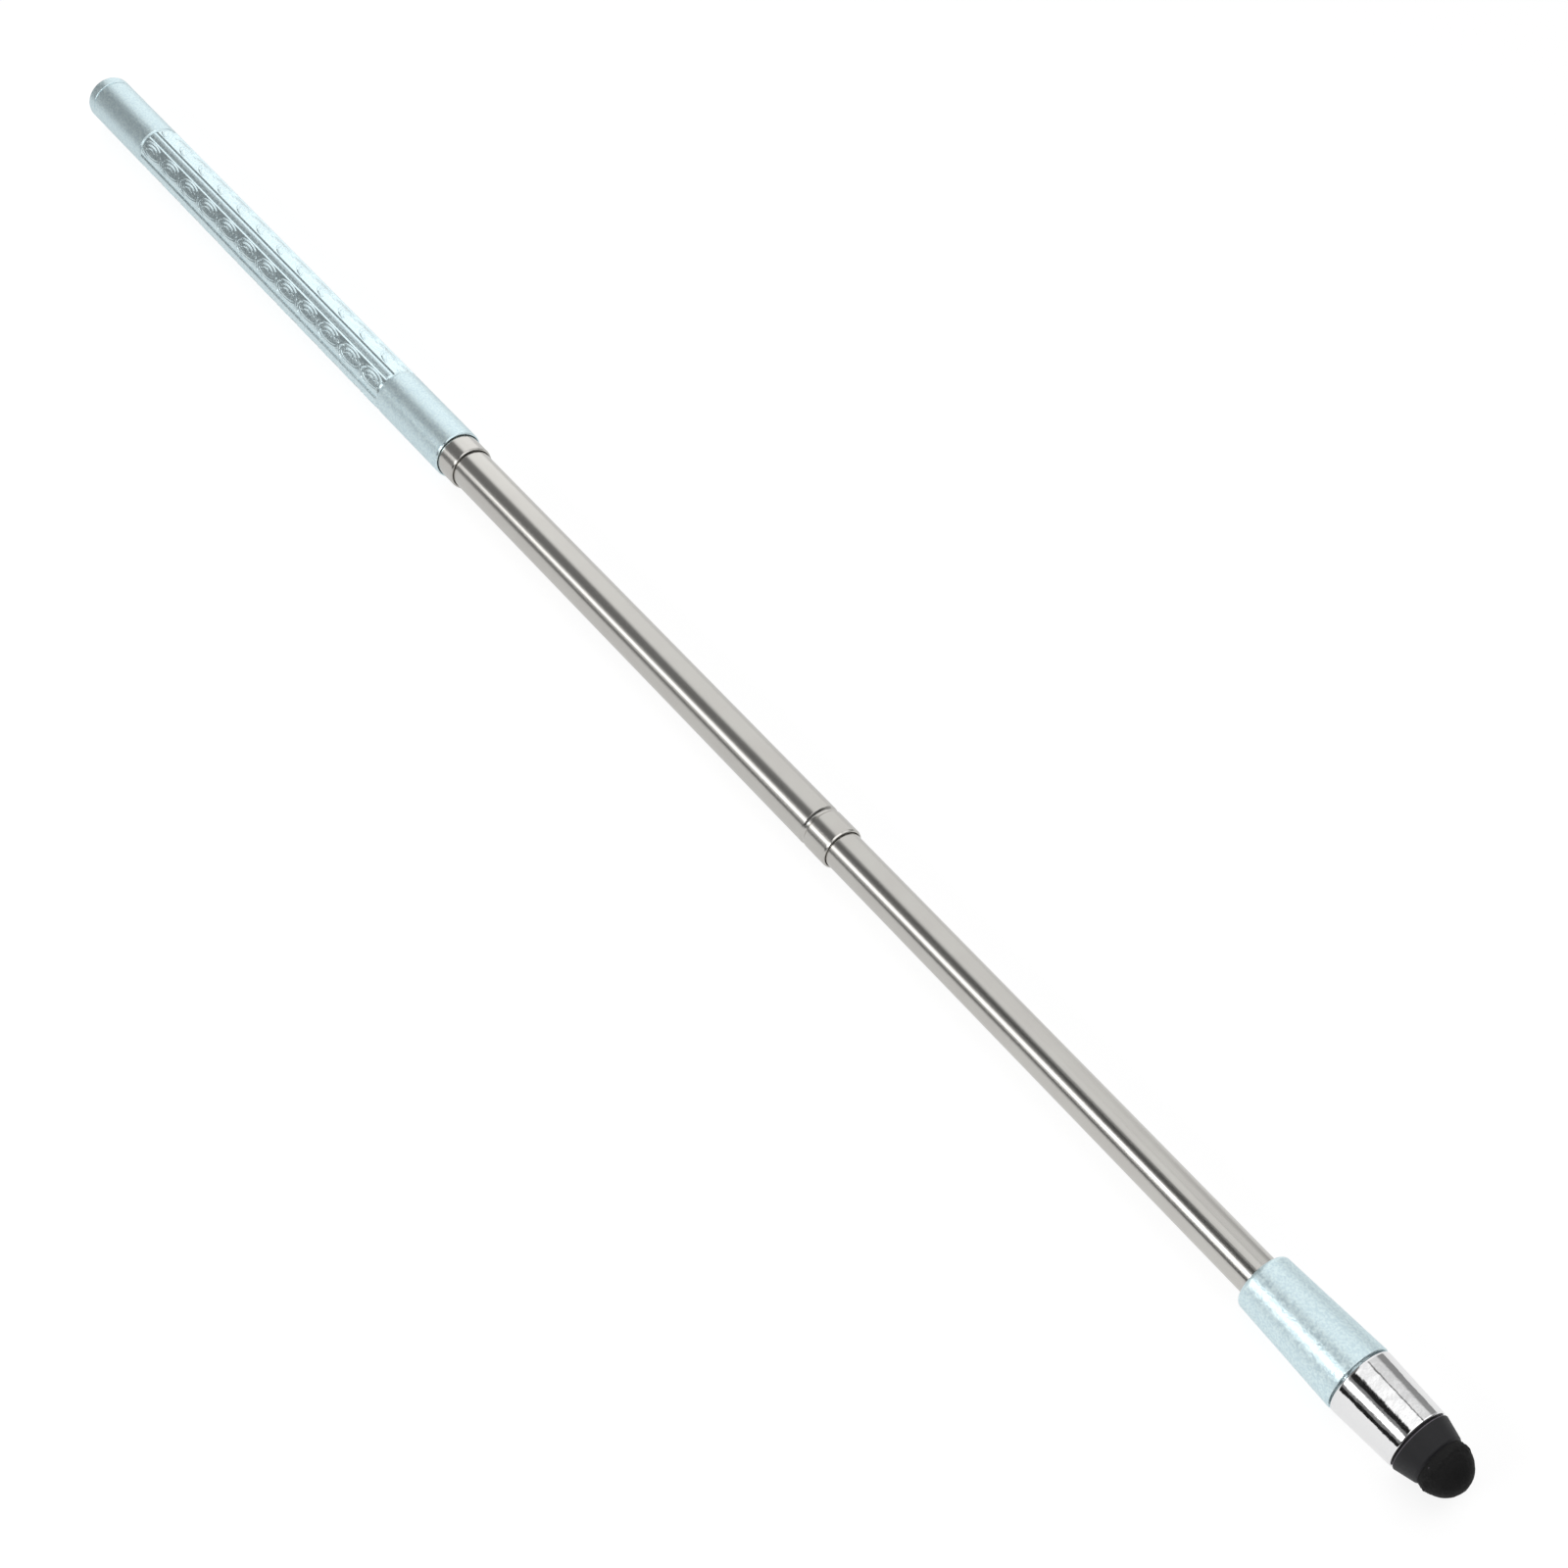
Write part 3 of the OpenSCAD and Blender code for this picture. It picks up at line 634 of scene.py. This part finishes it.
# Studio: a broad soft panel overhead and behind, and a dark room in front of it round the camera. Rolls are
# degrees about the stylus, from straight up towards -Y, and lengthwise runs from -1, past the tail, to 1.
world = bpy.data.worlds.new("studio")
world.use_nodes = True
bpy.context.scene.world = world
tree = world.node_tree
towards = add(tree, "ShaderNodeTexCoord").outputs["Generated"]
lengthwise, sideways, upwards = add(tree, "ShaderNodeSeparateXYZ", {0: towards}).outputs
forwards = add(tree, "ShaderNodeMath", {0: sideways, 1: -1.0}, operation="MULTIPLY")
roll = add(tree, "ShaderNodeMath", {0: forwards, 1: upwards}, operation="ARCTAN2")
roll = add(tree, "ShaderNodeMath", {0: roll}, operation="DEGREES")
# The dark room is a little lighter towards the tail, and the panel's front edge runs forward to the nib
room = add(tree, "ShaderNodeMapRange", {
    0: lengthwise, 1: -0.62, 2: -0.3, 3: 0.205, 4: 0.014}, interpolation_type="SMOOTHSTEP")
edge = add(tree, "ShaderNodeMapRange", {0: lengthwise, 1: -0.85, 2: 0.75, 3: -11.0, 4: 64.0})
edge = add(tree, "ShaderNodeMath", {0: roll, 1: edge}, operation="SUBTRACT")
soft = add(tree, "ShaderNodeMapRange", {0: lengthwise, 1: -0.5, 2: -0.32, 3: 9.0, 4: 2.5})
edge = add(tree, "ShaderNodeMath", {0: edge, 1: soft}, operation="DIVIDE")
panel = add(tree, "ShaderNodeMapRange", {
    0: edge, 1: -1.0, 2: 1.0, 3: 1.0, 4: 0.0}, interpolation_type="SMOOTHSTEP")
end = add(tree, "ShaderNodeMapRange", {0: lengthwise, 1: 0.22, 2: 0.38, 3: 1.0, 4: 0.05})
panel = add(tree, "ShaderNodeMath", {0: panel, 1: end}, operation="MULTIPLY")
# Its brightness changes along its length, as (from, to, factor before, factor after)
for start, stop, low, high in (
        (-0.92, -0.86, 0.35, 1.0), (-0.8, -0.72, 0.95, 1.46),
        (-0.68, -0.64, 1.0, 0.65), (-0.2, -0.08, 1.0, 1.8)):
    far = add(tree, "ShaderNodeMapRange", {0: lengthwise, 1: start, 2: stop, 3: low, 4: high})
    panel = add(tree, "ShaderNodeMath", {0: panel, 1: far}, operation="MULTIPLY")
# Towards the nib end the panel has a seam, and a darker wall shows below its far edge
near = add(tree, "ShaderNodeMapRange", {0: lengthwise, 1: -0.38, 2: -0.29})
behind = add(tree, "ShaderNodeMapRange", {0: roll, 1: -100.0, 2: 0.0})
seam = add(tree, "ShaderNodeValToRGB", {0: behind})
stops = seam.color_ramp.elements
stops[0].position = 0.05
stops[0].color = (0.3, 0.3, 0.3, 1)
stops[1].position = 0.762
stops[1].color = (1, 1, 1, 1)
for at, grey in ((0.34, 0.3), (0.42, 0.78), (0.71, 0.78), (0.717, 0.2), (0.753, 0.2)):
    stops.new(at).color = (grey, grey, grey, 1)
wall = add(tree, "ShaderNodeMix", {0: near, 2: 1.0, 3: seam.outputs[0]})
panel = add(tree, "ShaderNodeMath", {0: panel, 1: wall}, operation="MULTIPLY")
light = add(tree, "ShaderNodeMath", {0: panel, 1: room}, operation="MAXIMUM")
# The camera itself sees plain white beyond the floor
seen = add(tree, "ShaderNodeLightPath").outputs["Is Camera Ray"]
light = add(tree, "ShaderNodeMix", {0: seen, 2: light, 3: 1.0})
connect(tree, tree.nodes["Background"], {"Color": light})

# Strip light: a long soft box beside the camera, brightest along its middle and towards the nib.
# It is made of lamps one behind another, because their light adds up along a ray.
strip_roll = math.radians(57.5)
# Distance from the stylus, rear end and front end in metres, degrees of roll that it fills, brightness
for distance, rear, front, spread, level in (
        (0.4, -0.12, 0.45, 38, 0.2), (0.402, -0.21, 0.45, 22, 0.5), (0.404, -0.21, 0.45, 15, 0.75),
        (0.406, -0.21, 0.45, 9, 1.1), (0.408, 0.17, 0.45, 15, 2.8)):
    lamp_data = bpy.data.lights.new("strip_light", "AREA")
    lamp_data.shape = "RECTANGLE"
    lamp_data.size = front - rear
    lamp_data.size_y = 2 * distance * math.tan(math.radians(spread / 2))
    lamp_data.energy = level * math.pi * lamp_data.size * lamp_data.size_y
    lamp = bpy.data.objects.new("strip_light", lamp_data)
    lamp.location = ((rear + front) / 2, -distance * math.sin(strip_roll), distance * math.cos(strip_roll))
    lamp.rotation_euler = (strip_roll, 0, 0)
    lamp.visible_camera = False
    bpy.context.scene.collection.objects.link(lamp)

# Camera: above and in front of the nib, looking back along the stylus as the photograph does. Its place,
# direction and lens were fitted to the outline of the stylus there.
camera_place, camera_towards = (0.4985, -0.1813, 0.3469), (-0.5375, 0.3918, -0.7466)
camera_data = bpy.data.cameras.new("camera")
camera_data.lens = 62.9
camera_data.sensor_width = 36
camera_data.clip_start = 0.01
camera = bpy.data.objects.new("camera", camera_data)
camera.location = camera_place
camera.rotation_euler = Vector(camera_towards).to_track_quat("-Z", "Y").to_euler()
bpy.context.scene.collection.objects.link(camera)
bpy.context.scene.camera = camera
bpy.context.scene.view_settings.view_transform = "Standard"
